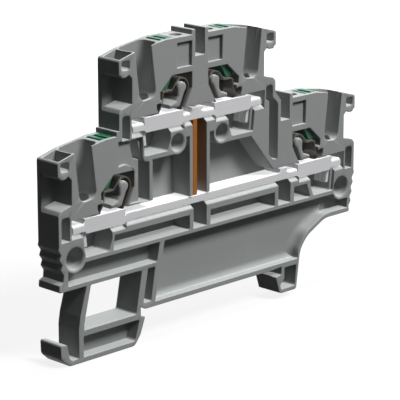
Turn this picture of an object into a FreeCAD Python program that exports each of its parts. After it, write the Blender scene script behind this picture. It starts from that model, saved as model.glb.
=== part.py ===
import FreeCAD, Part
import math
import os

# Double level feed-through terminal block for a 35 mm rail. All lengths are in millimetres.
# X runs along the block, Y through its thickness with the open side at -Y, and Z is up.
# The origin is the middle of the rail seat, half-way through the thickness.

# The moulding as a whole
THICKNESS = 5.2
BACK_WALL = 0.95
UPPER_LEVEL = 33.25
LEVEL_PITCH = 14.7
UPPER_CENTRE = -3.3
LOWER_LEFT_SHIFT = 13.6
LOWER_RIGHT_SHIFT = 21.4
RIB = 0.8
SADDLE_DROP = 0.6
OVERSHOOT = 1.0

# A wire-entry tower, measured outwards from its centre line and up from its level
TOWER_REACH = 18.8
TOWER_TOP = 12.45
TOWER_SHOULDER = 8.1
FUNNEL_CREST = 15.1
CREST_DROP = 1.1
LIP_TOP = 10.35
LIP_CORNER = 0.5
LIP_BOTTOM = 7.3
POCKET_INSET = 2.95
POCKET_FLOOR = 2.7
MARKER_DEPTH = 0.65
MARKER_WIDTH = 3.45
MARKER_HEIGHT = 4.25
MARKER_TOP = 11.45
JUMPER_HALF = 1.15
JUMPER_FLOOR = 8.7
JUMPER_TAB_GAP = 0.2
RIB_RISE = 0.85
LEG_SLOT_WIDTH = 1.8
LEG_SLOT_HEIGHT = 4.1
LEG_SLOT_TOP = 0.9
LEG_SLOT_WALL = 0.65
LIP_HOLLOW = 2.85
LIP_WALL = 0.45
LIP_FRONT = 0.35
STEP_RIB = 0.6
TEST_HOLE_U = 3.75
TEST_HOLE_RADIUS = 1.1
TEST_HOLE_DEPTH = 1.6

# Wire funnel: a tilted channel that is open at the front, and a wider mouth above it
WIRE_TILT = 7.0
CHANNEL_WIDTH = 3.75
CHANNEL_CORNER = 1.4
CHANNEL_INSET = 6.6
CHANNEL_FOOT_W = 2.9
WIRE_BORE_RADIUS = 1.6
WIRE_BORE_LEAD = 0.25
MOUTH_INNER = 9.5
PARTITION = 0.25
MOUTH_FOOT_W = 4.9
MOUTH_SKIN = 0.9
MOUTH_EDGE = 0.16
MOUTH_FLARE = 0.35
MOUTH_CORNER = 1.2

# Release button and its shaft
BUTTON_U = 7.4
BUTTON_WIDTH = 2.9
BUTTON_SKIN = 0.85
BUTTON_TOP = 12.1
BUTTON_CLEARANCE = 0.12
BUTTON_TRAVEL = 1.2
BUTTON_SLOT = 0.75
BUTTON_SLOT_DEPTH = 1.0
BUTTON_NECK = 0.25
LUG = 0.22
FOOT_GAP = 0.1

# Clamping spring and the peg that carries it
SPRING_STRIP = 0.28
SPRING_FRONT = 0.45
SPRING_GAP = 0.1
LOOP_U = 4.0
LOOP_W = 3.65
LOOP_RADIUS = 1.62
ARM_HEIGHT = 3.45
ARM_START = 6.3
ARM_END = 8.35
SPRING_LEG = 0.5
CLAMP_U = 9.9
CLAMP_W = -0.6
PEG_RADIUS = 1.0
PEG_FRONT = 0.2
SPRING_POCKET_TOP = 6.15
SPRING_POCKET_INNER = 1.95
SPRING_POCKET_OUTER = 9.4

# Current bars: a strip with a raised collar at each clamp, whose outer end bends down as a tongue
BAR_FRONT = 0.3
BAR_TOP = -1.0
BAR_BOTTOM = -2.3
BAR_END = 15.45
BAR_GAP = 0.5
SLOT_TOP = 0.2
COLLAR_INNER = 3.7
COLLAR_OUTER = 12.9
COLLAR_RISE = 0.85
COLLAR_DROP = 0.45
WINDOW_INNER = 8.7
WINDOW_WALL = 0.55
WINDOW_GAP = 0.1
TONGUE = 0.65
TONGUE_LENGTH = 2.4
TONGUE_LEAN = 0.35
TONGUE_GROOVES = 5
TONGUE_GROOVE_DEPTH = 0.15
SEAT_BEVEL = 0.8
SEAT_BEVEL_DEPTH = 1.2

# Link that joins the two bars; it passes through a slot in each
LINK_WIDTH = 0.95
LINK_OFFSET = -0.55
LINK_FRONT = 0.7
LINK_BACK = 0.45
LINK_COLLAR = 0.75

# Wire chambers below the bars, and the holes for the pins that line up neighbouring blocks
CHAMBER_INNER = 7.0
CHAMBER_GAP = 0.2
CHAMBER_FLOOR = -6.6
CHAMBER_LEAD = 0.45
UPPER_PIN_U = 5.35
UPPER_PIN_W = -5.6
UPPER_PIN_RADIUS = 1.4
LOWER_PIN_U = 15.3
LOWER_PIN_W = -6.4
LOWER_PIN_RADIUS = 1.8
PIN_RING = 0.65

# Compartments between the levels, outwards from the upper centre line
SHAFT_LEFT = 1.75
SHAFT_RIGHT = 1.55
PILLAR_LEFT = 11.25
SLOPE_TOP = 12.6
DUCT_WIDTH = 2.25
BOSS_STEP = 0.95

# Base, measured from the rail seat
RAIL_WIDTH = 35.0
RAIL_EDGE = 1.0
SEAT_RELIEF = 0.1
SHELF = 0.75
PIT_HALF = 1.6
PIT_WALL = 0.95
BOX_WALL = 1.25
PANEL_DEPTH = 2.25
ARCH_RUN = 7.6
BASE_BAND = 0.9
BAND_LEAN = 0.225
STRUT_FOOT = 3.4
END_BOTTOM = 7.0
RIDGE_COUNT_LEFT = 3
RIDGE_COUNT_RIGHT = 4
RIDGE_TOP = -4.3
RIDGE_PITCH = 1.75
RIDGE_HEIGHT = 0.6
RIDGE_LEAN = 0.26
RIDGE_ROUND = 0.3

# Springy foot on the left of the rail, and the fixed hook on its right
FOOT_BOTTOM = -6.0
FOOT_TOP = -0.45
FOOT_BEAM = 1.1
LEG_INSET = 4.05
LEG_WALL = 1.25
LEG_LEAN = 1.8
PRY_LIP = 4.1
TOE_BACK = 1.5
HOOK_BOTTOM = -4.85
HOOK_LIP = 1.5
HOOK_WIDTH = 4.0

FRONT = -THICKNESS / 2
DEEP = THICKNESS - BACK_WALL
LOWER_LEVEL = UPPER_LEVEL - LEVEL_PITCH
LOWER_LEFT_CENTRE = UPPER_CENTRE - LOWER_LEFT_SHIFT
LOWER_RIGHT_CENTRE = UPPER_CENTRE + LOWER_RIGHT_SHIFT
LEFT_END = LOWER_LEFT_CENTRE - TOWER_REACH
RIGHT_END = LOWER_RIGHT_CENTRE + TOWER_REACH
RAIL_HALF = RAIL_WIDTH / 2
SHELF_TOP = LOWER_LEVEL + CHAMBER_FLOOR - 0.1
FOOT_REST = ARM_HEIGHT + SPRING_STRIP / 2 + FOOT_GAP
POCKET_WALL = TOWER_REACH - POCKET_INSET
CHANNEL_FOOT_U = TOWER_REACH - CHANNEL_INSET
WINDOW_OUTER = COLLAR_OUTER - TONGUE
CHAMBER_OUTER = COLLAR_OUTER + CHAMBER_GAP


def vec(x, y, z):
    return FreeCAD.Vector(x, y, z)


def outline(points, y):
    """Closed wire at depth y through (x, z) points; a third value rounds that corner."""
    corners = []
    count = len(points)
    for i, point in enumerate(points):
        here = vec(point[0], y, point[1])
        radius = point[2] if len(point) > 2 else 0
        before = vec(points[i - 1][0], y, points[i - 1][1]) - here
        after = vec(points[(i + 1) % count][0], y, points[(i + 1) % count][1]) - here
        half = before.getAngle(after) / 2
        if radius == 0 or abs(half - math.pi / 2) < 0.01:
            corners.append((here, None, here))
            continue
        cut = min(radius / math.tan(half), 0.48 * before.Length, 0.48 * after.Length)
        radius = cut * math.tan(half)
        start = here + before.normalize() * cut
        end = here + after.normalize() * cut
        inward = (before + after).normalize()
        middle = here + inward * (radius / math.sin(half) - radius)
        corners.append((start, middle, end))
    edges = []
    for i, (start, middle, end) in enumerate(corners):
        if middle is not None:
            edges.append(Part.Arc(start, middle, end).toShape())
        following = corners[(i + 1) % count][0]
        if end.distanceToPoint(following) > 1e-6:
            edges.append(Part.LineSegment(end, following).toShape())
    return Part.Wire(edges)


def slab(points, near, far):
    """Solid of an outline from one depth below the open side to another."""
    face = Part.Face(outline(points, FRONT + near))
    return face.extrude(vec(0, far - near, 0))


def pocket(points, depth):
    return slab(points, -OVERSHOOT, depth)


def disc(x, z, radius, near, far):
    return Part.makeCylinder(radius, far - near, vec(x, FRONT + near, z), vec(0, 1, 0))


def box(x0, x1, near, far, z0, z1):
    return Part.makeBox(x1 - x0, far - near, z1 - z0, vec(x0, FRONT + near, z0))


def strip(points, radii, thickness):
    """Outline of a bent strip about a centre line; each inner corner has its own bend radius."""
    sides = []
    for side in (1, -1):
        path = []
        for i, point in enumerate(points):
            here = vec(point[0], 0, point[1])
            into = (here - vec(points[i - 1][0], 0, points[i - 1][1])) if i else None
            out = (vec(points[i + 1][0], 0, points[i + 1][1]) - here) if i + 1 < len(points) else None
            first = (into or out).normalize()
            last = (out or into).normalize()
            normal = vec(-first.z - last.z, 0, first.x + last.x).normalize()
            reach = thickness / 2 / max(0.2, normal.dot(vec(-first.z, 0, first.x)))
            turn = first.z * last.x - first.x * last.z
            radius = radii[i] + (side if turn > 0 else -side) * thickness / 2 if radii[i] else 0
            spot = here + normal * (side * reach)
            path.append((spot.x, spot.z, max(radius, 0.02)) if radii[i] else (spot.x, spot.z))
        sides.append(path)
    return sides[0] + sides[1][::-1]


def tower_frame(centre, level, side):
    """Turns distances outwards and upwards into block coordinates."""
    def at(u, w, *radius):
        return (centre + side * u, level + w) + radius
    return at


TOWERS = {
    "upper_left": tower_frame(UPPER_CENTRE, UPPER_LEVEL, -1),
    "upper_right": tower_frame(UPPER_CENTRE, UPPER_LEVEL, 1),
    "lower_left": tower_frame(LOWER_LEFT_CENTRE, LOWER_LEVEL, -1),
    "lower_right": tower_frame(LOWER_RIGHT_CENTRE, LOWER_LEVEL, 1),
}


def span(at, u0, u1, near, far, w0, w1):
    """Box in a tower's own directions."""
    (xa, z0), (xb, z1) = at(u0, w0), at(u1, w1)
    return box(min(xa, xb), max(xa, xb), near, far, z0, z1)


# Silhouette of the moulding

def ridges(x, count, side):
    """Rounded grip ridges down an end face, each set a little further in than the one above."""
    top = LOWER_LEVEL + RIDGE_TOP
    points = [(x, top + RIDGE_PITCH / 3)]
    for k in range(count):
        crest = x + side * (0.15 - k * RIDGE_LEAN)
        z = top - k * RIDGE_PITCH
        points += [(crest, z, RIDGE_ROUND), (crest - side * RIDGE_HEIGHT, z - RIDGE_PITCH / 2, RIDGE_ROUND)]
    return points


def tower_top(at):
    """Sloping top of a tower out to its lip."""
    return [at(TOWER_SHOULDER, TOWER_TOP), at(FUNNEL_CREST, TOWER_TOP - CREST_DROP),
            at(TOWER_REACH, LIP_TOP, LIP_CORNER)]


def half_jumper_slot(at):
    """One side of the slot for a jumper, with the raised rib beside it."""
    rib = JUMPER_HALF + RIB
    return [at(JUMPER_HALF, JUMPER_FLOOR), at(JUMPER_HALF, TOWER_TOP + RIB_RISE),
            at(rib, TOWER_TOP + RIB_RISE), at(rib, TOWER_TOP)]


def silhouette():
    upper_left, upper_right = TOWERS["upper_left"], TOWERS["upper_right"]
    lower_left, lower_right = TOWERS["lower_left"], TOWERS["lower_right"]
    step_x = upper_left(TOWER_REACH, 0)[0]
    step_z = LOWER_LEVEL + TOWER_TOP
    points = half_jumper_slot(upper_left) + tower_top(upper_left)
    crest = step_z + RIB_RISE
    points += [(step_x, crest), (step_x - STEP_RIB, crest), (step_x - STEP_RIB, step_z)]
    points += tower_top(lower_left)
    points += ridges(LEFT_END, RIDGE_COUNT_LEFT, -1)
    points += [(LEFT_END + RIDGE_HEIGHT + RIDGE_LEAN, END_BOTTOM + 1.7), (LEFT_END, END_BOTTOM + 1.3, 0.2),
               (LEFT_END - 0.15, END_BOTTOM, 0.4)]
    points += rail_foot() + rail_hook() + end_arch()
    points += ridges(RIGHT_END, RIDGE_COUNT_RIGHT, 1)[::-1]
    points += tower_top(lower_right)[::-1] + half_jumper_slot(lower_right)[::-1]
    points += [lower_right(-JUMPER_HALF, JUMPER_FLOOR), lower_right(-JUMPER_HALF, TOWER_TOP),
               upper_right(TOWER_REACH, -SADDLE_DROP)]
    points += tower_top(upper_right)[::-1] + half_jumper_slot(upper_right)[::-1]
    return points


def rail_foot():
    """Springy leg with its toe under the rail edge, from the left end's underside inwards."""
    leg = LEFT_END + LEG_INSET
    low = FOOT_BOTTOM + BASE_BAND
    toe = -RAIL_HALF - TOE_BACK
    heel = -RAIL_HALF + RAIL_EDGE
    return [(leg + LEG_LEAN, END_BOTTOM), (leg + 0.35, 2.0, 3.0), (leg, 0.0, 3.0), (leg, low),
            (leg - 1.95, low, 1.0), (leg - 2.65, low + 3.0, 0.4), (LEFT_END, FOOT_BOTTOM + PRY_LIP, 0.4),
            (LEFT_END + 0.1, FOOT_BOTTOM + 1.6, 1.2), (leg - 2.15, FOOT_BOTTOM, 1.4),
            (toe, FOOT_BOTTOM, 1.4), (toe + 1.4, FOOT_BOTTOM + 1.8, 1.0), (heel, -RAIL_EDGE - 0.3, 0.2),
            (-RAIL_HALF, -RAIL_EDGE), (-RAIL_HALF, 0.6), (heel + SEAT_RELIEF, 0)]


def rail_hook():
    """Fixed hook that grips the other rail edge, with a shallow relief above its lip."""
    lip = RAIL_HALF - HOOK_LIP
    return [(lip - SEAT_RELIEF, 0), (lip - SEAT_RELIEF, SEAT_RELIEF), (RAIL_HALF, SEAT_RELIEF),
            (RAIL_HALF, -RAIL_EDGE - 0.3), (lip, -RAIL_EDGE - 0.55, 0.2), (lip + 1.0, HOOK_BOTTOM + 0.2, 0.3),
            (lip + 1.7, HOOK_BOTTOM, 0.4), (RAIL_HALF + HOOK_WIDTH, HOOK_BOTTOM, 0.6)]


def end_arch():
    """Underside of the right-hand end, which arches up from the hook."""
    return [(RAIL_HALF + HOOK_WIDTH + 1.0, 2.4, 4.0), (RAIL_HALF + HOOK_WIDTH + 2.8, 4.6, 5.0),
            (RAIL_HALF + HOOK_WIDTH + ARCH_RUN, END_BOTTOM, 4.5), (RIGHT_END - 1.0, END_BOTTOM, 0.7)]


# Cavities that every tower has

def tower_cavities(at):
    half = BUTTON_WIDTH / 2 + BUTTON_CLEARANCE
    shaft = span(at, BUTTON_U - half, BUTTON_U + half, BUTTON_SKIN - BUTTON_CLEARANCE, DEEP,
                 FOOT_REST - BUTTON_TRAVEL - BUTTON_CLEARANCE, TOWER_TOP + OVERSHOOT)
    return [outer_pocket(at), lip_hollow(at), funnel_mouth(at), funnel_channel(at), wire_bore(at),
            spring_pocket(at), shaft.cut(spring_peg(at)), wire_chamber(at)]


def outer_pocket(at):
    """Deep recess below the lip, open to the end of the tower."""
    end = TOWER_REACH
    return pocket([at(end + OVERSHOOT, LIP_BOTTOM + 1.0), at(end - 0.3, LIP_BOTTOM + 0.5),
                   at(end - 0.7, LIP_BOTTOM), at(end - 1.5, LIP_BOTTOM),
                   at(end - 2.3, LIP_BOTTOM + 0.35),
                   at(POCKET_WALL, LIP_BOTTOM - 0.3), at(POCKET_WALL, POCKET_FLOOR),
                   at(end - 0.5, POCKET_FLOOR - 0.6, 0.8), at(end + 0.2, POCKET_FLOOR - 1.5),
                   at(end + OVERSHOOT, POCKET_FLOOR - 1.5)], DEEP)


def lip_hollow(at):
    """Hollow of the lip, open at the top, with a small window to the open side."""
    low = LIP_BOTTOM + 1.25
    inner, outer = TOWER_REACH - 2.45, TOWER_REACH - 0.65
    window = pocket([at(inner, low, 0.4), at(outer, low, 0.4), at(outer, LIP_TOP - 0.25, 0.4),
                     at(inner, LIP_TOP - 0.25, 0.4)], 2 * LIP_FRONT)
    inner, outer = TOWER_REACH - LIP_WALL - LIP_HOLLOW, TOWER_REACH - LIP_WALL
    return window.fuse(span(at, inner, outer, LIP_FRONT, DEEP, low, TOWER_TOP + OVERSHOOT))


def marker_recess(at):
    inner, outer = JUMPER_HALF + RIB, JUMPER_HALF + RIB + MARKER_WIDTH
    low = MARKER_TOP - MARKER_HEIGHT
    return pocket([at(inner, MARKER_TOP), at(outer, MARKER_TOP), at(outer, low), at(inner, low)],
                  MARKER_DEPTH)


def ring_recess(at):
    """Wider marker recess of the lower left tower, which leaves a ring round the spring's loop."""
    outer = JUMPER_HALF + RIB + MARKER_WIDTH
    return pocket([at(0, MARKER_TOP), at(outer, MARKER_TOP), at(outer, 7.25), at(3.5, 7.6, 2.0),
                   at(1.3, 5.6, 2.0), at(1.25, 3.0, 1.5), at(2.9, 0.55), at(0, 0.55)], MARKER_DEPTH)


def test_hole(at):
    """Round hole in the top of a tower, between its rib and its button."""
    x, z = at(TEST_HOLE_U, TOWER_TOP - TEST_HOLE_DEPTH)
    return Part.makeCylinder(TEST_HOLE_RADIUS, TEST_HOLE_DEPTH + OVERSHOOT, vec(x, -0.3, z))


def leg_slot(at):
    outer = TOWER_REACH - LEG_SLOT_WALL
    inner = outer - LEG_SLOT_WIDTH
    low = LEG_SLOT_TOP - LEG_SLOT_HEIGHT
    return pocket([at(inner, LEG_SLOT_TOP, 0.6), at(outer, LEG_SLOT_TOP, 0.6), at(outer, low),
                   at(inner, low)], DEEP)


def funnel_mouth(at):
    """Four-sided funnel that widens to the sloping top: side view and end view, with round corners."""
    top = TOWER_TOP + OVERSHOOT
    inner = CHANNEL_FOOT_U - CHANNEL_WIDTH / 2 + 0.25
    outer = CHANNEL_FOOT_U + CHANNEL_WIDTH / 2 + 0.15
    rim = TOWER_REACH - LIP_WALL - LIP_HOLLOW - PARTITION
    slope = (rim - outer) / (LIP_TOP - MOUTH_FOOT_W)
    side_view = slab([at(inner, MOUTH_FOOT_W), at(outer, MOUTH_FOOT_W),
                      at(outer + slope * (top - MOUTH_FOOT_W), top), at(MOUTH_INNER, top)], 0, THICKNESS)
    x, low = at(MOUTH_INNER, MOUTH_FOOT_W)
    high = at(0, top)[1]
    corners = [vec(x, FRONT + MOUTH_SKIN, low), vec(x, FRONT + DEEP - 0.05, low),
               vec(x, FRONT + DEEP + MOUTH_FLARE, high), vec(x, FRONT + MOUTH_EDGE, high)]
    reach = at(2 * TOWER_REACH, 0)[0] - x
    end_view = Part.Face(Part.makePolygon(corners + corners[:1])).extrude(vec(reach, 0, 0))
    mouth = side_view.common(end_view)
    rising = [edge for edge in mouth.Edges if edge.BoundBox.ZLength > top - MOUTH_FOOT_W - 0.1]
    return mouth.makeFillet(MOUTH_CORNER, rising)


def tilt(at, shape):
    """Turns a shape about the funnel's foot so that it leans outwards."""
    x, z = at(CHANNEL_FOOT_U, CHANNEL_FOOT_W)
    outwards = 1 if at(1, 0)[0] > at(0, 0)[0] else -1
    shape.rotate(vec(x, 0, z), vec(0, 1, 0), outwards * WIRE_TILT)
    return shape


def funnel_channel(at):
    """Channel for the wire: open at the front, round at the back and at the bottom."""
    half = CHANNEL_WIDTH / 2
    channel = span(at, CHANNEL_FOOT_U - half, CHANNEL_FOOT_U + half, -OVERSHOOT, DEEP, CHANNEL_FOOT_W,
                   TOWER_TOP + 2 * OVERSHOOT)
    back, low = FRONT + DEEP, channel.BoundBox.ZMin
    upright = [edge for edge in channel.Edges
               if abs(edge.BoundBox.YMin - back) < 1e-6 and edge.BoundBox.ZLength > 1]
    lowest = [edge for edge in channel.Edges
              if abs(edge.BoundBox.ZMax - low) < 1e-6 and edge.BoundBox.YLength > 1]
    return tilt(at, channel.makeFillet(CHANNEL_CORNER, upright + lowest))


def wire_bore(at):
    """Round hole from the funnel's foot down to the bar, with a short cone as its lead."""
    x, z = at(CHANNEL_FOOT_U, CHANNEL_FOOT_W)
    middle = FRONT + DEEP - 0.15 - WIRE_BORE_RADIUS
    length = CHANNEL_FOOT_W - SLOT_TOP + 0.3
    bore = Part.makeCylinder(WIRE_BORE_RADIUS, length + 0.5, vec(x, middle, z - length))
    lead = Part.makeCone(WIRE_BORE_RADIUS, WIRE_BORE_RADIUS + WIRE_BORE_LEAD, 2 * WIRE_BORE_LEAD,
                         vec(x, middle, z - 2 * WIRE_BORE_LEAD + 0.1))
    room = span(at, CHANNEL_FOOT_U - 3, CHANNEL_FOOT_U + 3, PEG_FRONT, DEEP, 0, CHANNEL_FOOT_W + 1)
    return tilt(at, bore.fuse(lead)).common(room)


def spring_pocket(at):
    """Pocket under the button, less the peg and its foot, which stay standing on the back wall."""
    inner, outer, top = SPRING_POCKET_INNER, SPRING_POCKET_OUTER, SPRING_POCKET_TOP
    room = pocket([at(inner, top), at(6.6, top, 0.3), at(outer, 3.65), at(outer, 2.45),
                   at(outer - 0.5, 2.2), at(outer - 0.5, 1.55), at(outer, 1.75), at(outer + 0.8, 1.75),
                   at(outer + 0.8, 1.0), at(outer + 0.4, SLOT_TOP - 0.1),
                   at(inner + 1.8, SLOT_TOP - 0.1), at(inner, LOOP_W - 0.3, 0.3)], DEEP)
    return room.cut(spring_peg(at))


def spring_peg(at):
    x, z = at(LOOP_U, LOOP_W)
    head = disc(x, z, PEG_RADIUS, PEG_FRONT, THICKNESS)
    low = SLOT_TOP + 0.15
    stem = slab([at(LOOP_U - 0.85, LOOP_W - 0.2), at(LOOP_U + 0.5, low), at(LOOP_U + 3.0, low),
                 at(LOOP_U + 3.0, low + 0.7, 0.2), at(LOOP_U + 1.4, low + 1.25, 0.4),
                 at(LOOP_U + PEG_RADIUS - 0.02, low + 1.95, 0.4), at(LOOP_U + PEG_RADIUS - 0.02, LOOP_W)],
                PEG_FRONT, THICKNESS)
    return head.fuse(stem)


def wire_chamber(at):
    """Room for the wire end below the bar, with a shallow lead along its outer side."""
    low = CHAMBER_FLOOR
    room = pocket([at(CHAMBER_INNER - 0.1, BAR_BOTTOM), at(CHAMBER_INNER, low + 1.9),
                   at(CHAMBER_INNER + 0.8, low, 0.5), at(CHAMBER_OUTER - 0.5, low, 0.4),
                   at(CHAMBER_OUTER, BAR_BOTTOM)], DEEP)
    outer = CHAMBER_OUTER + CHAMBER_LEAD
    lead = pocket([at(CHAMBER_OUTER - 1, BAR_BOTTOM), at(CHAMBER_OUTER - 1, low), at(outer - 0.5, low, 0.3),
                   at(outer, BAR_BOTTOM)], CHAMBER_LEAD + 0.15)
    return room.fuse(lead)


# Current bars, the link between them and the slots that hold them

def collar_bottom(at):
    return [at(COLLAR_INNER, BAR_BOTTOM), at(COLLAR_INNER + COLLAR_DROP, BAR_BOTTOM - COLLAR_DROP, 0.2),
            at(COLLAR_OUTER - COLLAR_DROP, BAR_BOTTOM - COLLAR_DROP, 0.2), at(COLLAR_OUTER, BAR_BOTTOM)]


def collar_top(at):
    rise = BAR_TOP + COLLAR_RISE
    return [at(COLLAR_INNER, BAR_TOP), at(COLLAR_INNER, rise, 0.2), at(COLLAR_OUTER, rise, 0.2),
            at(COLLAR_OUTER, BAR_TOP)]


def bar_outline(at_left, at_right, raised):
    """Side view of a bar between two towers; raised is the stretch that stands up to the collars."""
    x0, x1, level = raised
    high = level + BAR_TOP + COLLAR_RISE
    points = [at_left(BAR_END, BAR_BOTTOM)] + collar_bottom(at_left)[::-1] + collar_bottom(at_right)
    points += [at_right(BAR_END, BAR_BOTTOM), at_right(BAR_END, BAR_TOP)] + collar_top(at_right)[::-1]
    points += [(x1, level + BAR_TOP), (x1, high), (x0, high), (x0, level + BAR_TOP)]
    points += collar_top(at_left) + [at_left(BAR_END, BAR_TOP)]
    return points


def window_sides():
    return BAR_FRONT + WINDOW_WALL, DEEP - WINDOW_WALL


def tongue(at):
    """Contact tongue bent down from the collar's window, grooved on the side that the wire meets."""
    near, far = window_sides()
    low = BAR_BOTTOM - COLLAR_DROP - TONGUE_LENGTH
    plate = slab([at(WINDOW_OUTER, BAR_TOP), at(WINDOW_OUTER + TONGUE, BAR_TOP),
                  at(WINDOW_OUTER + TONGUE, BAR_BOTTOM), at(WINDOW_OUTER + TONGUE - TONGUE_LEAN, low, 0.15),
                  at(WINDOW_OUTER - TONGUE_LEAN, low, 0.15), at(WINDOW_OUTER, BAR_BOTTOM)], near, far)
    top_x, top_z = at(WINDOW_OUTER, BAR_BOTTOM)
    low_x, low_z = at(WINDOW_OUTER - TONGUE_LEAN, low)
    into_x = at(WINDOW_OUTER + TONGUE_GROOVE_DEPTH, BAR_BOTTOM)[0]
    pitch = (far - near) / TONGUE_GROOVES
    for k in range(TONGUE_GROOVES):
        middle = FRONT + near + (k + 0.5) * pitch
        corners = [vec(top_x, middle - TONGUE_GROOVE_DEPTH, top_z), vec(into_x, middle, top_z),
                   vec(top_x, middle + TONGUE_GROOVE_DEPTH, top_z)]
        groove = Part.Face(Part.makePolygon(corners + corners[:1]))
        plate = plate.cut(groove.extrude(1.1 * vec(low_x - top_x, 0, low_z - top_z)))
    return plate


def current_bar(at_left, at_right, raised):
    near, far = window_sides()
    bar = slab(bar_outline(at_left, at_right, raised), BAR_FRONT, DEEP)
    for at in (at_left, at_right):
        bar = bar.cut(span(at, WINDOW_INNER, WINDOW_OUTER, near, far, BAR_BOTTOM - OVERSHOOT,
                           BAR_TOP + OVERSHOOT))
        bar = bar.fuse(tongue(at))
    return bar.cut(level_link()).removeSplitter()


def level_link():
    x = UPPER_CENTRE + LINK_OFFSET
    return box(x - LINK_WIDTH / 2, x + LINK_WIDTH / 2, LINK_FRONT, DEEP - LINK_BACK,
               LOWER_LEVEL + BAR_BOTTOM, UPPER_LEVEL + BAR_TOP + COLLAR_RISE)


def bar_slot(at_left, at_right):
    """Slot for a bar; the bar rests on its lower side, which is bevelled at the open side."""
    end = BAR_END + BAR_GAP
    points = [at_left(end, BAR_BOTTOM)] + collar_bottom(at_left)[::-1] + collar_bottom(at_right)
    points += [at_right(end, BAR_BOTTOM), at_right(end, SLOT_TOP), at_left(end, SLOT_TOP)]
    return pocket(points, DEEP)


def seat_bevel(x0, x1, z):
    """Wedge off the front edge of a bar's seat at height z."""
    points = [vec(x0, FRONT - 0.01, z + 0.01), vec(x0, FRONT - 0.01, z - SEAT_BEVEL),
              vec(x0, FRONT + SEAT_BEVEL_DEPTH, z + 0.01)]
    face = Part.Face(Part.makePolygon(points + points[:1]))
    return face.extrude(vec(x1 - x0, 0, 0))


def seat_bevels(at_left, at_right):
    level = at_left(0, 0)[1]
    tools = [seat_bevel(at_left(COLLAR_INNER, 0)[0], at_right(COLLAR_INNER, 0)[0], level + BAR_BOTTOM)]
    for at in (at_left, at_right):
        for u0, u1, w in ((COLLAR_INNER + 0.2, CHAMBER_INNER + 0.1, BAR_BOTTOM - COLLAR_DROP),
                          (CHAMBER_OUTER + 0.2, BAR_END + BAR_GAP, BAR_BOTTOM)):
            x0, x1 = sorted((at(u0, 0)[0], at(u1, 0)[0]))
            tools.append(seat_bevel(x0, x1, level + w))
    return tools


# Cavities of the middle and the base

def pin_boss(at, u, w, radius):
    x, z = at(u, w)
    return disc(x, z, radius + PIN_RING, -OVERSHOOT, THICKNESS)


def compartment(wall, far_side, at):
    """Compartment beside the middle shaft; a step keeps the ledge round the pin hole's boss."""
    floor = LOWER_LEVEL + SLOT_TOP - 0.1
    under = UPPER_LEVEL + CHAMBER_FLOOR - BASE_BAND
    notch = wall - BOSS_STEP if far_side[0][0] < wall else wall + BOSS_STEP
    boss_x, boss_z = at(UPPER_PIN_U, UPPER_PIN_W)
    room = pocket([(wall, floor)] + far_side + [(boss_x, under), (boss_x, boss_z), (notch, boss_z),
                                                (notch, under + 2.55), (wall, under + 2.55)], DEEP)
    return room.cut(pin_boss(at, UPPER_PIN_U, UPPER_PIN_W, UPPER_PIN_RADIUS))


def middle_cavities():
    """Compartments between the two levels, down to the lower bar."""
    upper_left, upper_right = TOWERS["upper_left"], TOWERS["upper_right"]
    floor = LOWER_LEVEL + SLOT_TOP - 0.1
    under = UPPER_LEVEL + CHAMBER_FLOOR - BASE_BAND
    beam = UPPER_LEVEL + BAR_BOTTOM
    shaft = pocket([(UPPER_CENTRE - SHAFT_LEFT, floor), (UPPER_CENTRE + SHAFT_RIGHT, floor),
                    (UPPER_CENTRE + SHAFT_RIGHT, beam), (UPPER_CENTRE - SHAFT_LEFT, beam)], DEEP)
    pillar = UPPER_CENTRE - PILLAR_LEFT
    left = compartment(UPPER_CENTRE - SHAFT_LEFT - RIB, [(pillar, floor), (pillar, under)], upper_left)
    duct_right = LOWER_RIGHT_CENTRE - JUMPER_HALF - RIB
    duct_left = duct_right - DUCT_WIDTH
    slope = [(duct_right - 1.0, floor), (UPPER_CENTRE + SLOPE_TOP, under)]
    right = compartment(UPPER_CENTRE + SHAFT_RIGHT + RIB, slope, upper_right)
    return [shaft, left, right, left_gap(pillar - RIB, floor, under), duct(duct_left, duct_right)]


def left_gap(right, floor, under):
    """Narrow gap between the upper tower and the lower left one."""
    left = LOWER_LEFT_CENTRE + JUMPER_HALF + RIB - 2.35
    upper_left = TOWERS["upper_left"]
    return pocket([upper_left(16.05, -3.5), upper_left(14.3, -3.5), upper_left(13.65, CHAMBER_FLOOR, 0.2),
                   (right - 1.1, under, 0.2), (right, under - 0.2), (right, floor + 0.25),
                   (left, floor + 0.25), (left, under + 0.4), upper_left(15.3, CHAMBER_FLOOR, 0.2)], DEEP)


def duct(left, right):
    """Duct between the upper and the lower right tower."""
    at = TOWERS["upper_right"]
    outer = TOWER_REACH - LEG_SLOT_WALL
    inner = outer - LEG_SLOT_WIDTH
    return pocket([at(inner, LEG_SLOT_TOP, 0.6), at(outer - 0.1, LEG_SLOT_TOP, 0.6),
                   at(outer - 0.1, -1.35), (right, UPPER_LEVEL - 2.7), (right, LOWER_LEVEL + 1.9),
                   (left + 1.0, LOWER_LEVEL + 2.1), (left, LOWER_LEVEL + 3.1), (left, UPPER_LEVEL - 2.0),
                   at(inner, -1.5)], DEEP)


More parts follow.
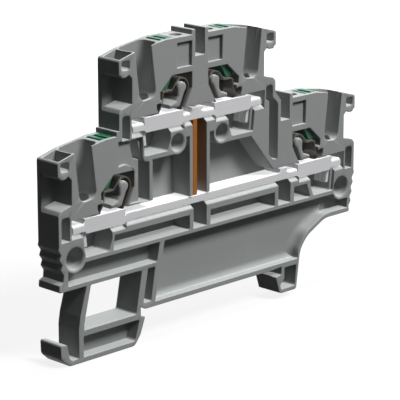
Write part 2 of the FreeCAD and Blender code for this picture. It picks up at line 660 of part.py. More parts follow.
def base_cavities():
    """Pits and boxes below the lower bar, the panels, and the recesses of the foot and the hook."""
    lower_left, lower_right = TOWERS["lower_left"], TOWERS["lower_right"]
    seat = LOWER_LEVEL + BAR_BOTTOM
    tools = []
    for centre in (UPPER_CENTRE, LOWER_RIGHT_CENTRE):
        tools.append(pocket([(centre - PIT_HALF, SHELF_TOP), (centre + PIT_HALF, SHELF_TOP),
                             (centre + PIT_HALF, seat + 0.1), (centre - PIT_HALF, seat + 0.1)], DEEP))
    wall = PIT_HALF + PIT_WALL
    left, right = lower_left(CHAMBER_INNER - 0.55, 0)[0], lower_right(CHAMBER_INNER, 0)[0]
    tools.append(floor_box(left - 0.3, UPPER_CENTRE - wall, 0.3, 0))
    tools.append(floor_box(UPPER_CENTRE + wall, LOWER_RIGHT_CENTRE - wall, 0, 0))
    tools.append(floor_box(LOWER_RIGHT_CENTRE + wall, right - 0.1, 0, 1.0))
    slot_right = -RAIL_HALF + STRUT_FOOT
    tools.append(pocket([(slot_right, END_BOTTOM, 0.3), (slot_right - 1.7, END_BOTTOM, 0.3),
                         (slot_right - 2.8, 1.2, 0.2), (slot_right - 1.0, 1.2, 0.2)], DEEP))
    leg = LEFT_END + LEG_INSET
    low, high = FOOT_BOTTOM + BASE_BAND, FOOT_TOP - FOOT_BEAM
    toe = -RAIL_HALF - TOE_BACK
    tools.append(pocket([(leg + 1.05, low, 0.2), (toe + 0.1, low, 0.6), (toe + 1.2, high, 0.4),
                         (leg + 1.05, high, 0.2)], PANEL_DEPTH))
    low, side = HOOK_BOTTOM + 0.8, RAIL_HALF + RIB
    tools.append(pocket([(side, -0.2, 0.2), (RAIL_HALF + HOOK_WIDTH, -0.2, 0.4),
                         (RAIL_HALF + HOOK_WIDTH - 0.4, low, 0.4), (RAIL_HALF - 0.1, low, 0.4),
                         (RAIL_HALF - 0.2, low + 0.9, 0.3), (side, low + 1.7, 0.4)], PANEL_DEPTH + 0.5))
    return tools + panels()


def floor_box(x0, x1, lean_left, lean_right):
    """Box-shaped recess under the lower bar's beam, whose ends may lean in at the top."""
    top = LOWER_LEVEL + BAR_BOTTOM - 1.85
    return pocket([(x0, SHELF_TOP, 0.3), (x1, SHELF_TOP, 0.3), (x1 - lean_right, top, 0.3),
                   (x0 + lean_left, top, 0.3)], THICKNESS - BOX_WALL)


def panels():
    """Two shallow recesses on either side of the strut, which follow the ends and the pin bosses."""
    lower_left, lower_right = TOWERS["lower_left"], TOWERS["lower_right"]
    top = SHELF_TOP - SHELF
    band = END_BOTTOM + 0.8
    strut = -RAIL_HALF + STRUT_FOOT + BAND_LEAN * (top - BASE_BAND)
    left = lower_left(LOWER_PIN_U, 0)[0] - 1.55
    end, (ring_x, ring_z) = RIGHT_END - 1.7, lower_right(LOWER_PIN_U, LOWER_PIN_W)
    left_panel = pocket([(left, band, 0.2), (strut - 1.15 - BAND_LEAN * (top - band), band, 0.3),
                         (strut - 1.15, top, 0.3), (left, top)], PANEL_DEPTH)
    arch = RAIL_HALF + HOOK_WIDTH
    panel = pocket([(strut, top), (strut - BAND_LEAN * (top - BASE_BAND), BASE_BAND),
                    (arch + 0.3, BASE_BAND, 0.3), (arch + 0.4, 2.6, 3.5), (arch + 2.4, 5.3, 4.5),
                    (arch + ARCH_RUN + 0.1, band + 0.05, 4.0), (end, band + 0.05), (end, top)], PANEL_DEPTH)
    under = ring_z - LOWER_PIN_RADIUS - PIN_RING
    web = slab([(ring_x - 3.0, top + 1), (end + 1, top + 1), (end + 1, under), (ring_x, under)],
               -OVERSHOOT, THICKNESS)
    return [left_panel.cut(pin_boss(lower_left, LOWER_PIN_U, LOWER_PIN_W, LOWER_PIN_RADIUS)),
            panel.cut(pin_boss(lower_right, LOWER_PIN_U, LOWER_PIN_W, LOWER_PIN_RADIUS)).cut(web)]


def foot_window():
    """Opening that makes the foot a springy leg."""
    left = LEFT_END + LEG_INSET + LEG_WALL
    right = -RAIL_HALF + 0.3
    return slab([(left + LEG_LEAN - 0.2, END_BOTTOM, 0.2), (left, 0.6, 0.6), (left, FOOT_TOP, 0.2),
                 (right - 1.4, FOOT_TOP, 0.4), (right, END_BOTTOM, 0.4)], -OVERSHOOT, THICKNESS + OVERSHOOT)


def pin_holes():
    """Holes right through the block, for the pins that line up its neighbours."""
    places = {"upper": (UPPER_PIN_U, UPPER_PIN_W, UPPER_PIN_RADIUS),
              "lower": (LOWER_PIN_U, LOWER_PIN_W, LOWER_PIN_RADIUS)}
    holes = []
    for name, at in TOWERS.items():
        u, w, radius = places[name.split("_")[0]]
        holes.append(disc(*at(u, w), radius, -OVERSHOOT, THICKNESS + OVERSHOOT))
    return holes


def housing():
    body = slab(silhouette(), 0, THICKNESS)
    tools = []
    for name, at in TOWERS.items():
        tools += tower_cavities(at)
        if name != "upper_right":
            tools.append(leg_slot(at))
        if name == "lower_left":
            tools.append(ring_recess(at))
        else:
            tools += [marker_recess(at), test_hole(at)]
    for level in ("upper", "lower"):
        sides = TOWERS[level + "_left"], TOWERS[level + "_right"]
        tools += [bar_slot(*sides)] + seat_bevels(*sides)
    tools += middle_cavities() + base_cavities() + pin_holes() + [foot_window()]
    for tool in tools:
        body = body.cut(tool)
    return body


# Springs and buttons

def tangent_angle(point, inner):
    """Angle on the loop where the straight run from a point meets it."""
    du, dw = point[0] - LOOP_U, point[1] - LOOP_W
    turn = math.acos(LOOP_RADIUS / math.hypot(du, dw))
    return math.atan2(dw, du) + (-turn if inner else turn)


def on_loop(angle, radius):
    return LOOP_U + radius * math.cos(angle), LOOP_W + radius * math.sin(angle)


def clamp_spring(at):
    """Bent strip: a leg on the bar, a loop over the peg, an arm under the button and a clamping end."""
    half = SPRING_STRIP / 2
    depth = DEEP - SPRING_GAP
    rest = BAR_TOP + COLLAR_RISE
    foot = (COLLAR_INNER + SPRING_LEG, rest)
    kink = (ARM_START, ARM_HEIGHT)
    start, end = tangent_angle(foot, True), tangent_angle(kink, False)
    top = (start + 2 * math.pi + end) / 2
    sides, feet = [], []
    for offset in (half, -half):
        radius = LOOP_RADIUS + offset
        sides.append([on_loop(start, radius), on_loop(top, radius), on_loop(end, radius)])
        feet.append((foot[0] + offset / math.cos(start), rest))
    outer, inner, feet = ([vec(at(*spot)[0], FRONT + SPRING_FRONT, at(*spot)[1]) for spot in spots]
                          for spots in (*sides, feet))
    edges = [Part.LineSegment(feet[0], outer[0]), Part.Arc(*outer), Part.LineSegment(outer[2], inner[2]),
             Part.Arc(*inner[::-1]), Part.LineSegment(inner[0], feet[1]), Part.LineSegment(feet[1], feet[0])]
    loop = Part.Face(Part.Wire([edge.toShape() for edge in edges]))
    loop = loop.extrude(vec(0, depth - SPRING_FRONT, 0))
    path = [on_loop(end, LOOP_RADIUS), kink, (ARM_END, ARM_HEIGHT), (ARM_END + 0.2, 1.5), (CLAMP_U, CLAMP_W)]
    bends = strip(path, [0, 0.5, 0.4, 0.8, 0], SPRING_STRIP)
    arm = slab([at(*point) for point in bends], SPRING_FRONT, depth)
    near, far = window_sides()
    shoulder = rest + 2 * WINDOW_GAP
    for y0, y1 in ((0, near + WINDOW_GAP), (far - WINDOW_GAP, THICKNESS)):
        arm = arm.cut(span(at, ARM_END, WINDOW_OUTER, y0, y1, CLAMP_W - OVERSHOOT, shoulder))
    return loop.fuse(arm).removeSplitter()


def button(at):
    """Push button with a driver slot on top, a lug that stops it and a slanted foot over the spring."""
    u0, u1 = BUTTON_U - BUTTON_WIDTH / 2, BUTTON_U + BUTTON_WIDTH / 2
    near, far = BUTTON_SKIN, DEEP - BUTTON_CLEARANCE
    foot = FOOT_REST
    neck = SPRING_POCKET_TOP + BUTTON_NECK
    lug = SPRING_POCKET_TOP - BUTTON_CLEARANCE
    body = slab([at(u0, neck), at(u0, BUTTON_TOP, 0.25), at(u1, BUTTON_TOP, 0.25), at(u1, neck)], near, far)
    leg = slab([at(u0, neck + 0.1), at(u0, lug), at(u0 - LUG, lug), at(u0 - LUG, lug - 0.35),
                at(u0 + 0.1, lug - 0.5), at(u0 + 1.2, foot, 0.15), at(u1 - 0.25, foot, 0.3),
                at(u1 - 0.2, foot + 0.6, 0.3), at(u1 - 1.3, neck - 0.3), at(u1 - 1.3, neck + 0.1)], near, far)
    slot = span(at, BUTTON_U - BUTTON_SLOT / 2, BUTTON_U + BUTTON_SLOT / 2, near - OVERSHOOT, far + OVERSHOOT,
                BUTTON_TOP - BUTTON_SLOT_DEPTH, BUTTON_TOP + OVERSHOOT)
    return body.fuse(leg).cut(slot).removeSplitter()


def build():
    os.makedirs("parts", exist_ok=True)
    tab = JUMPER_HALF - JUMPER_TAB_GAP
    upper_tab = (UPPER_CENTRE + LINK_OFFSET - LINK_WIDTH / 2 - LINK_COLLAR, UPPER_CENTRE + tab, UPPER_LEVEL)
    lower_tab = (LOWER_RIGHT_CENTRE - tab, LOWER_RIGHT_CENTRE + tab, LOWER_LEVEL)
    shapes = {
        "housing": housing(),
        "upper_current_bar": current_bar(TOWERS["upper_left"], TOWERS["upper_right"], upper_tab),
        "lower_current_bar": current_bar(TOWERS["lower_left"], TOWERS["lower_right"], lower_tab),
        "level_link": level_link(),
    }
    for name, at in TOWERS.items():
        shapes["spring_" + name] = clamp_spring(at)
        shapes["button_" + name] = button(at)
    for name, shape in shapes.items():
        shape.exportStep("parts/" + name + ".step")
        print(name, shape.isValid(), round(shape.Volume, 2), len(shape.Solids), len(shape.Faces))


build()
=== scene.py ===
# %% [markdown]
# # A double level terminal block, dressed for its picture
#
# The real object is a slice of grey moulded plastic, five millimetres thick and open on one
# side. It clips onto a mounting rail. Two levels of spring clamps hold wires, and a tinned
# copper bar joins the two clamps of each level. A copper link joins the two bars.
#
# The shapes come from the CAD solids. This lesson gives them what CAD leaves out: small
# rounded edges, finishes, a floor, lamps and a camera.

from math import radians

import bmesh
import bpy
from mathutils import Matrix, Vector


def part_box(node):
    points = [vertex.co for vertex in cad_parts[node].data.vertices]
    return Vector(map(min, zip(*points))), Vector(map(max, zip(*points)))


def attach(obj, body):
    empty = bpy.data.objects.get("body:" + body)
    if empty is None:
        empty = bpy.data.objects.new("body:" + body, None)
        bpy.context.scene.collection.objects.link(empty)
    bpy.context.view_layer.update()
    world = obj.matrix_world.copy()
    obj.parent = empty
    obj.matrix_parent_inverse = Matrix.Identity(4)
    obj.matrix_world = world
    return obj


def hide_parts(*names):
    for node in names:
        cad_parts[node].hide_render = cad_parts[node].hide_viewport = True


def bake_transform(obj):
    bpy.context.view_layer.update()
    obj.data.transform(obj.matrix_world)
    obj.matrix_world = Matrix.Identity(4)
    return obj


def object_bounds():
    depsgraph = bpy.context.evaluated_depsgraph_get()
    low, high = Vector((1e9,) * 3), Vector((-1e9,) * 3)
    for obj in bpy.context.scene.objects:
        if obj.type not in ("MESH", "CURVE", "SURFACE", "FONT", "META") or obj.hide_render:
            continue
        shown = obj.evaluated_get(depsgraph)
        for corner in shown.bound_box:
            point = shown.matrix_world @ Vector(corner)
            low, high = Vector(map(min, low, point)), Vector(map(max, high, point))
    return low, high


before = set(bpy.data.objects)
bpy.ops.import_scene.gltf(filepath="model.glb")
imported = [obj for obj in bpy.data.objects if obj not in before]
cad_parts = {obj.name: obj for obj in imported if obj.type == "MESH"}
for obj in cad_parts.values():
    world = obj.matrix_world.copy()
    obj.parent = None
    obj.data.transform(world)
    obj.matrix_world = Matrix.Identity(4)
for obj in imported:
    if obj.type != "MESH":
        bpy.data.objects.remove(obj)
cad_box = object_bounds()
MM = 0.001
print("solids:", ", ".join(sorted(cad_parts)))
print("CAD size in mm:", [round((b - a) / MM, 2) for a, b in zip(*cad_box)])

# %% [markdown]
# ## Viewpoint
#
# The picture was taken with a long lens from the left, a little above the part. A long lens
# keeps upright edges nearly parallel. The camera gets a place and a point that it looks at,
# because these two are easier to adjust than three angles.

# %% Camera
CAMERA_PLACE = Vector((-0.2562, -0.2536, 0.11265))
CAMERA_AIM = Vector((-0.0034, -0.0026, 0.01665))
LENS = 193.5

camera = bpy.data.objects.new("camera", bpy.data.cameras.new("camera"))
bpy.context.scene.collection.objects.link(camera)
camera.data.lens = LENS
camera.data.sensor_width = 36
camera.data.clip_start = 0.01
camera.data.clip_end = 20
camera.location = CAMERA_PLACE
camera.rotation_mode = "QUATERNION"
camera.rotation_quaternion = (CAMERA_AIM - CAMERA_PLACE).to_track_quat("-Z", "Y")
bpy.context.scene.camera = camera
print("camera to part:", round((CAMERA_AIM - CAMERA_PLACE).length, 3), "m")

# %% [markdown]
# ## Studio
#
# The surroundings are white where the camera or a gloss ray sees them, and dim where they
# would light the part. So the background stays white and the shaded sides stay dark. The
# Light Path node tells these rays apart.

# %% Surroundings
SURROUND_LIGHT = 0.01

scene = bpy.context.scene
scene.view_settings.view_transform = "Standard"


def seen_or_mirrored(tree):
    """A mask that is 1 for rays from the camera, from gloss and through glass."""
    path = tree.nodes.new("ShaderNodeLightPath")
    either = tree.nodes.new("ShaderNodeMath")
    either.operation = "MAXIMUM"
    tree.links.new(path.outputs["Is Camera Ray"], either.inputs[0])
    tree.links.new(path.outputs["Is Glossy Ray"], either.inputs[1])
    any_of = tree.nodes.new("ShaderNodeMath")
    any_of.operation = "MAXIMUM"
    tree.links.new(either.outputs[0], any_of.inputs[0])
    tree.links.new(path.outputs["Is Transmission Ray"], any_of.inputs[1])
    return any_of.outputs[0]


world = bpy.data.worlds.new("studio")
world.use_nodes = True
scene.world = world
world_tree = world.node_tree
background = world_tree.nodes["Background"]
strength = world_tree.nodes.new("ShaderNodeMapRange")
strength.inputs["To Min"].default_value = SURROUND_LIGHT
strength.inputs["To Max"].default_value = 1
world_tree.links.new(seen_or_mirrored(world_tree), strength.inputs["Value"])
world_tree.links.new(strength.outputs["Result"], background.inputs["Strength"])
background.inputs["Color"].default_value = (1, 1, 1, 1)

# %% [markdown]
# The floor is a plain pale sheet under the foot. Its own glow for camera rays lifts it to
# the white of the background, a little more with distance, and the part's shadow stays on it
# as a soft grey. For the rays that light the part it is darker, because a bright floor would
# wash out the undersides.

# %% Floor
FLOOR_SIZE = 6
FLOOR_GAP = 0.02 * MM
FLOOR_TONE, DIM_TONE = 0.12, 0.02
NEAR, FAR = 0.06, 0.25
NEAR_GLOW, FAR_GLOW = 0.7, 1

floor_mesh = bmesh.new()
bmesh.ops.create_grid(floor_mesh, x_segments=1, y_segments=1, size=FLOOR_SIZE / 2)
bmesh.ops.translate(
    floor_mesh, verts=floor_mesh.verts, vec=(0, 0, cad_box[0].z - FLOOR_GAP)
)
floor = bpy.data.objects.new("floor", bpy.data.meshes.new("floor"))
floor_mesh.to_mesh(floor.data)
floor_mesh.free()
scene.collection.objects.link(floor)

floor_paint = bpy.data.materials.new("pale floor")
floor_paint.use_nodes = True
tree = floor_paint.node_tree
tree.nodes.clear()
matt = tree.nodes.new("ShaderNodeBsdfDiffuse")
matt.inputs["Color"].default_value = (FLOOR_TONE, FLOOR_TONE, FLOOR_TONE, 1)
glow = tree.nodes.new("ShaderNodeEmission")
coordinates = tree.nodes.new("ShaderNodeTexCoord")
distance = tree.nodes.new("ShaderNodeVectorMath")
distance.operation = "LENGTH"
tree.links.new(coordinates.outputs["Object"], distance.inputs[0])
lift = tree.nodes.new("ShaderNodeMapRange")
lift.inputs["From Min"].default_value = NEAR
lift.inputs["From Max"].default_value = FAR
lift.inputs["To Min"].default_value = NEAR_GLOW
lift.inputs["To Max"].default_value = FAR_GLOW
tree.links.new(distance.outputs["Value"], lift.inputs["Value"])
tree.links.new(lift.outputs["Result"], glow.inputs["Strength"])
lifted = tree.nodes.new("ShaderNodeAddShader")
tree.links.new(matt.outputs[0], lifted.inputs[0])
tree.links.new(glow.outputs[0], lifted.inputs[1])
dim = tree.nodes.new("ShaderNodeBsdfDiffuse")
dim.inputs["Color"].default_value = (DIM_TONE, DIM_TONE, DIM_TONE, 1)
choice = tree.nodes.new("ShaderNodeMixShader")
tree.links.new(seen_or_mirrored(tree), choice.inputs[0])
tree.links.new(dim.outputs[0], choice.inputs[1])
tree.links.new(lifted.outputs[0], choice.inputs[2])
out = tree.nodes.new("ShaderNodeOutputMaterial")
tree.links.new(choice.outputs[0], out.inputs[0])
floor.data.materials.append(floor_paint)
print(f"floor: {FLOOR_SIZE} m wide, {FLOOR_GAP / MM} mm under the foot")

# %% [markdown]
# Four square lamps light the part. The key lamp, high in front, shows the open side at its
# written grey and lets every ledge cast a short shadow. The ledge lamp stands behind, high on
# the right. Of the faces in view it meets only those that look up, so ledges and bars shine,
# and the tower tops that slope to the left stay dim. It casts no shadow, because the closed
# back of the block would keep its light off the ledges. Two weak lamps, overhead and in
# front, reach into the recesses. No lamp stands on the left, so the end faces there stay in
# shade and the steps between them read clearly.

# %% Lamps
AIM = Vector((0, 0, 0.02))
WATTS_PER_LEVEL = 9.87


def soft_lamp(name, direction, distance, size, level, shadow=True):
    """A square lamp. Level is how bright a white sheet facing it would look."""
    lamp = bpy.data.objects.new(name, bpy.data.lights.new(name, "AREA"))
    lamp.data.shape = "SQUARE"
    lamp.data.size = size
    lamp.data.energy = level * WATTS_PER_LEVEL * distance**2
    lamp.data.use_shadow = shadow
    towards = Vector(direction).normalized()
    lamp.location = AIM + towards * distance
    lamp.rotation_mode = "QUATERNION"
    lamp.rotation_quaternion = (-towards).to_track_quat("-Z", "Y")
    scene.collection.objects.link(lamp)
    print(f"{name}: {lamp.data.energy:.2f} W at {distance} m")
    return lamp


soft_lamp("key lamp", (0.25, -1, 1.2), 0.8, 0.25, 1.4)
soft_lamp("overhead lamp", (0.06, 0, 1), 0.7, 0.25, 0.5)
soft_lamp("ledge lamp", (0.6, 0.2, 0.7), 0.7, 0.3, 1.9, shadow=False)
soft_lamp("front lamp", (0.4, -1, 0), 0.9, 0.3, 0.05)

# %% [markdown]
# ## Small rounded edges
#
# No moulded or punched edge is perfectly sharp, and the thin bright line that runs along an
# edge comes from its rounding. A CAD node arrives as loose triangles, so a copy is merged
# into one skin first and its flat faces are cleared of needless lines. Faces with many corners
# are cut into triangles again, so that a tight corner spoils only its own surroundings. Then
# the outer edges are bevelled. The CAD node itself stays as it is, and the copy stands for it
# in the picture.
#
# Some places need more. So the function also takes a test for places that are rounder, a
# rule for corners that move down a little, and a test for inner corners that a cove fills.

# %% Rounded copies
SHARP = radians(35)
SMOOTH = radians(50)
COVE = 1.2 * MM
MERGE = 0.001 * MM
FLAT = radians(0.5)


def round_off(skin, edges, offset, segments):
    """Rounds the given edges of a mesh."""
    bmesh.ops.bevel(
        skin,
        geom=edges,
        offset=offset,
        affect="EDGES",
        segments=segments,
        profile=0.5,
        material=-1,
        clamp_overlap=False,
        face_strength_mode="AFFECTED",
    )


def is_sharp(edge):
    """True for an outer edge that needs rounding."""
    return edge.is_convex and edge.calc_face_angle(0) > SHARP


def rounded_copy(node, name, rounding, soft=None, softness=0, lower=None, cove=None):
    """A merged copy of a CAD node with rounded outer edges.

    soft(place) picks the edges that are rounded by softness instead. lower(place) says how
    far a corner comes down. cove(place) picks the inner corners that a cove fills.
    """
    skin = bmesh.new()
    skin.from_mesh(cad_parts[node].data)
    bmesh.ops.remove_doubles(skin, verts=skin.verts, dist=MERGE)
    if lower:
        for corner in skin.verts:
            corner.co.z -= lower(corner.co / MM) * MM
    bmesh.ops.dissolve_limit(skin, angle_limit=FLAT, verts=skin.verts, edges=skin.edges)
    bmesh.ops.triangulate(skin, faces=[f for f in skin.faces if len(f.verts) > 4])
    if cove:
        inner = [e for e in skin.edges if not e.is_convex and e.calc_face_angle(0) > SHARP]
        inner = [e for e in inner if all(cove(v.co / MM) for v in e.verts)]
        print(f"{name}: {len(inner)} edges of coves")
        round_off(skin, inner, COVE, 6)
    if soft:
        chosen = [e for e in skin.edges if is_sharp(e) and all(soft(v.co / MM) for v in e.verts)]
        print(f"{name}: {len(chosen)} edges rounded more")
        round_off(skin, chosen, softness, 4)
    round_off(skin, [e for e in skin.edges if is_sharp(e)], rounding, 2)
    for face in skin.faces:
        face.smooth = True
    for edge in skin.edges:
        edge.smooth = edge.calc_face_angle(0) < SMOOTH
    piece = bpy.data.objects.new(name, bpy.data.meshes.new(name))
    skin.to_mesh(piece.data)
    open_edges = sum(not e.is_manifold for e in skin.edges)
    skin.free()
    scene.collection.objects.link(piece)
    flat = piece.modifiers.new("keep flats flat", "WEIGHTED_NORMAL")
    flat.keep_sharp = True
    flat.use_face_influence = True
    print(f"{name}: {len(piece.data.polygons)} faces, {open_edges} open edges")
    return piece


# %% [markdown]
# ## Finishes
#
# Two effects serve all five finishes. The first is the skin of moulded plastic: a grain too
# fine to see singly, and a slow change of shade where the melt flowed. The second is rolled
# strip: long faint lines along the strip. Each is a node group, built once, and each
# material gives it its own values.

# %% Helper for groups


def new_group(name, numbers, outputs):
    """A shader group with a colour input, number inputs and the given outputs."""
    group = bpy.data.node_groups.new(name, "ShaderNodeTree")
    group.interface.new_socket("Colour", in_out="INPUT", socket_type="NodeSocketColor")
    for number, value in numbers.items():
        socket = group.interface.new_socket(
            number, in_out="INPUT", socket_type="NodeSocketFloat"
        )
        socket.default_value = value
    for output, kind in outputs.items():
        group.interface.new_socket(output, in_out="OUTPUT", socket_type=kind)
    return group, group.nodes.new("NodeGroupInput"), group.nodes.new("NodeGroupOutput")


def noise(group, scale, detail, stretch=(1, 1, 1)):
    """A noise texture on Object coordinates, stretched along the axes."""
    place = group.nodes.new("ShaderNodeTexCoord")
    mapping = group.nodes.new("ShaderNodeMapping")
    mapping.inputs["Scale"].default_value = stretch
    group.links.new(place.outputs["Object"], mapping.inputs["Vector"])
    texture = group.nodes.new("ShaderNodeTexNoise")
    texture.inputs["Scale"].default_value = scale
    texture.inputs["Detail"].default_value = detail
    group.links.new(mapping.outputs["Vector"], texture.inputs["Vector"])
    return texture.outputs["Fac"]


def around(group, value, centre, spread):
    """centre + (value - 0.5) * spread, where centre and spread are sockets."""
    middle = group.nodes.new("ShaderNodeMath")
    middle.operation = "SUBTRACT"
    middle.inputs[1].default_value = 0.5
    group.links.new(value, middle.inputs[0])
    total = group.nodes.new("ShaderNodeMath")
    total.operation = "MULTIPLY_ADD"
    group.links.new(middle.outputs[0], total.inputs[0])
    group.links.new(spread, total.inputs[1])
    if isinstance(centre, (int, float)):
        total.inputs[2].default_value = centre
    else:
        group.links.new(centre, total.inputs[2])
    return total.outputs[0]


def shaded(group, colour, factor):
    """The colour times a factor around 1."""
    product = group.nodes.new("ShaderNodeVectorMath")
    product.operation = "SCALE"
    group.links.new(colour, product.inputs[0])
    group.links.new(factor, product.inputs["Scale"])
    return product.outputs["Vector"]


OUTPUTS = {
    "Colour": "NodeSocketColor",
    "Roughness": "NodeSocketFloat",
    "Height": "NodeSocketFloat",
}

# %% Moulded skin
moulded, given, result = new_group(
    "moulded skin", {"Mottle": 0.1, "Roughness": 0.5, "Uneven gloss": 0.1}, OUTPUTS
)
flow = noise(moulded, 140, 3, (1, 1, 0.4))
grain = noise(moulded, 3200, 2)
tone = around(moulded, flow, 1, given.outputs["Mottle"])
moulded.links.new(shaded(moulded, given.outputs["Colour"], tone), result.inputs["Colour"])
gloss = around(moulded, grain, given.outputs["Roughness"], given.outputs["Uneven gloss"])
moulded.links.new(gloss, result.inputs["Roughness"])
moulded.links.new(grain, result.inputs["Height"])

# %% Rolled strip
rolled, given, result = new_group(
    "rolled strip", {"Streaks": 0.1, "Roughness": 0.3, "Uneven gloss": 0.1}, OUTPUTS
)
lines = noise(rolled, 2600, 2, (0.05, 1, 1))
cloud = noise(rolled, 500, 3)
tone = around(rolled, lines, 1, given.outputs["Streaks"])
rolled.links.new(shaded(rolled, given.outputs["Colour"], tone), result.inputs["Colour"])
gloss = around(rolled, cloud, given.outputs["Roughness"], given.outputs["Uneven gloss"])
rolled.links.new(gloss, result.inputs["Roughness"])
rolled.links.new(lines, result.inputs["Height"])

# %% Materials from a group


def finish(name, group, colour, numbers, relief, **shader):
    """A Principled material fed by a group. Relief is the bump depth in metres."""
    material = bpy.data.materials.new(name)
    material.use_nodes = True
    tree = material.node_tree
    skin = tree.nodes["Principled BSDF"]
    effect = tree.nodes.new("ShaderNodeGroup")
    effect.node_tree = group
    effect.inputs["Colour"].default_value = (*colour, 1)
    for number, value in numbers.items():
        effect.inputs[number].default_value = value
    bump = tree.nodes.new("ShaderNodeBump")
    bump.inputs["Distance"].default_value = relief
    bump.inputs["Strength"].default_value = 1
    tree.links.new(effect.outputs["Colour"], skin.inputs["Base Color"])
    tree.links.new(effect.outputs["Roughness"], skin.inputs["Roughness"])
    tree.links.new(effect.outputs["Height"], bump.inputs["Height"])
    tree.links.new(bump.outputs["Normal"], skin.inputs["Normal"])
    for socket, value in shader.items():
        skin.inputs[socket.replace("_", " ")].default_value = value
    return material


def dress(piece, material, node, body=None):
    """Gives a piece its finish and, if it is rigid, its body. Hides the node that it stands for.
    """
    piece.data.materials.clear()
    piece.data.materials.append(material)
    if body:
        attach(piece, body)
    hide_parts(node)


# %% [markdown]
# ## Moulded block
#
# The block is glass filled polyamide, a grey satin plastic. Its edges are rounded by about a
# tenth of a millimetre. The bump is a few micrometres deep, so it only softens the gloss.
#
# The pegs inside the springs and the rims of the pin holes are rounder. A cove runs along the
# foot and the arch of the large panel. The CAD walls beside the copper link end just above
# the lower bar, and here their feet come down to it.

# %% Moulded block
grey_plastic = finish(
    "grey moulded polyamide",
    moulded,
    (0.214, 0.224, 0.219),
    {"Mottle": 0.08, "Roughness": 0.42, "Uneven gloss": 0.12},
    0.003 * MM,
    Specular_IOR_Level=0.06,
)
LEVELS = {"upper": 33.25, "lower": 18.55}
FRONT, PEG_FRONT, PANEL_FLOOR = -2.6, -2.4, -0.35
PIN_HOLES = ((-8.65, 27.65, 1.4), (2.05, 27.65, 1.4), (-32.2, 12.15, 1.8), (33.4, 12.15, 1.8))
SHAFT_WALLS = ((-5.9, -5.0), (-1.8, -0.9))
WALL_FOOT = LEVELS["lower"] + 0.2
WALL_DROP = 1.05


def close(a, b):
    """True where two places agree to a hundredth of a millimetre."""
    return abs(a - b) < 0.01


def well_rounded(place):
    """True on the front edge of a spring's peg and on the rim of a pin hole."""
    if close(place.y, PEG_FRONT):
        return True
    on_front = close(place.y, FRONT)
    from_axis = [((place.x - x) ** 2 + (place.z - z) ** 2) ** 0.5 - r for x, z, r in PIN_HOLES]
    return on_front and min(map(abs, from_axis)) < 0.05


def foot_of_panel(place):
    """True along the lower edge and the arch of the large panel."""
    foot = -14.5 < place.x < 22 and place.z < 1.2
    arch = 21 < place.x < 29.5 and place.z < 7.8
    return close(place.y, PANEL_FLOOR) and (foot or arch)


def to_the_bar(place):
    """How far the feet of the link's shaft walls come down, so that they meet the bar."""
    under_wall = any(a < place.x < b for a, b in SHAFT_WALLS)
    return WALL_DROP if close(place.z, WALL_FOOT) and under_wall else 0


block = rounded_copy(
    "housing",
    "moulded_block",
    0.13 * MM,
    well_rounded,
    0.45 * MM,
    lower=to_the_bar,
    cove=foot_of_panel,
)
dress(block, grey_plastic, "housing", "block")

# %% [markdown]
# ## Current bars and their link
#
# The bars are punched from copper strip and tinned. Matt tin scatters light nearly as a pale
# paint does, so it is written as one. The front edge of each bar's narrow strip is rolled
# over, and is rounded by half a millimetre. The link is bare copper.

# %% Bars and link
tin = finish(
    "tin plate",
    rolled,
    (0.49, 0.49, 0.50),
    {"Streaks": 0.06, "Roughness": 0.4, "Uneven gloss": 0.12},
    0.001 * MM,
    Specular_IOR_Level=0.4,
)
copper = finish(
    "bare copper",
    rolled,
    (0.23, 0.085, 0.018),
    {"Streaks": 0.12, "Roughness": 0.36, "Uneven gloss": 0.14},
    0.001 * MM,
    Metallic=1,
)
BAR_FRONT = -2.3
STRIP_DROP = 1.0


def strip_front_of(level):
    """A test for the front edge of the narrow strip of one level's bar."""

    def on_strip_front(place):
        return close(place.z, LEVELS[level] - STRIP_DROP) and close(place.y, BAR_FRONT)

    return on_strip_front


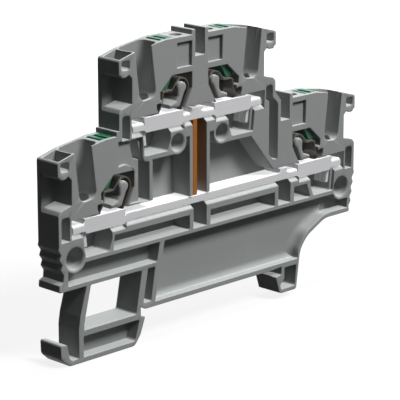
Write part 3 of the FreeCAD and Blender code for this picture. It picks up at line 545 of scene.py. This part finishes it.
for level in LEVELS:
    node = f"{level}_current_bar"
    bar = rounded_copy(
        node, f"{level}_tinned_bar", 0.07 * MM, strip_front_of(level), 0.5 * MM
    )
    dress(bar, tin, node, "block")
link = rounded_copy("level_link", "copper_link_strip", 0.05 * MM)
dress(link, copper, "level_link", "block")

# %% [markdown]
# ## Clamp springs and buttons
#
# A spring is a steel strip bent into a loop round a peg. A button above it presses its leaf
# down to free a wire. In the real block the button slides and the spring bends: its loop stays
# on the peg, the leaf under the button's foot goes down with the button, and the strip between
# them follows in part. Here the button is a solid with a body of its own, and the spring stands
# still. The CAD button ends a third of a millimetre low, so its top is lifted to be flush with
# the tower.

# %% Springs and buttons
spring_steel = finish(
    "spring steel",
    rolled,
    (0.06, 0.052, 0.045),
    {"Streaks": 0.12, "Roughness": 0.36, "Uneven gloss": 0.12},
    0.001 * MM,
    Metallic=0.6,
)
green_plastic = finish(
    "green moulded plastic",
    moulded,
    (0.004, 0.095, 0.044),
    {"Mottle": 0.06, "Roughness": 0.3, "Uneven gloss": 0.08},
    0.001 * MM,
    Specular_IOR_Level=0.25,
)
TOP_LIFT = 0.35
PLACES = ("upper_left", "upper_right", "lower_left", "lower_right")


def corners_at(node, end):
    """The corners of a CAD node at its top, if end is max, or at its bottom, if end is min."""
    corners = [v.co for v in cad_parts[node].data.vertices]
    level = end(corner.z for corner in corners)
    return [corner for corner in corners if abs(corner.z - level) < 0.05 * MM]


def to_the_surface(place):
    """A rule that lifts the top of a button, so that it is flush with the tower beside it."""
    button_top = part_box(f"button_{place}")[1].z / MM
    return lambda corner: -TOP_LIFT if close(corner.z, button_top) else 0


for place in PLACES:
    spring = rounded_copy(f"spring_{place}", f"clamp_spring_{place}", 0.04 * MM)
    dress(spring, spring_steel, f"spring_{place}")
    crown = corners_at(f"spring_{place}", max)[0].x
    foot = min((c.x for c in corners_at(f"button_{place}", min)), key=lambda x: abs(x - crown))
    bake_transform(spring)
    print(f"leaf of {place} bends over {abs(foot - crown) / MM:.2f} mm")
    button = rounded_copy(
        f"button_{place}", f"push_button_{place}", 0.07 * MM, lower=to_the_surface(place)
    )
    dress(button, green_plastic, f"button_{place}", f"button_{place}")
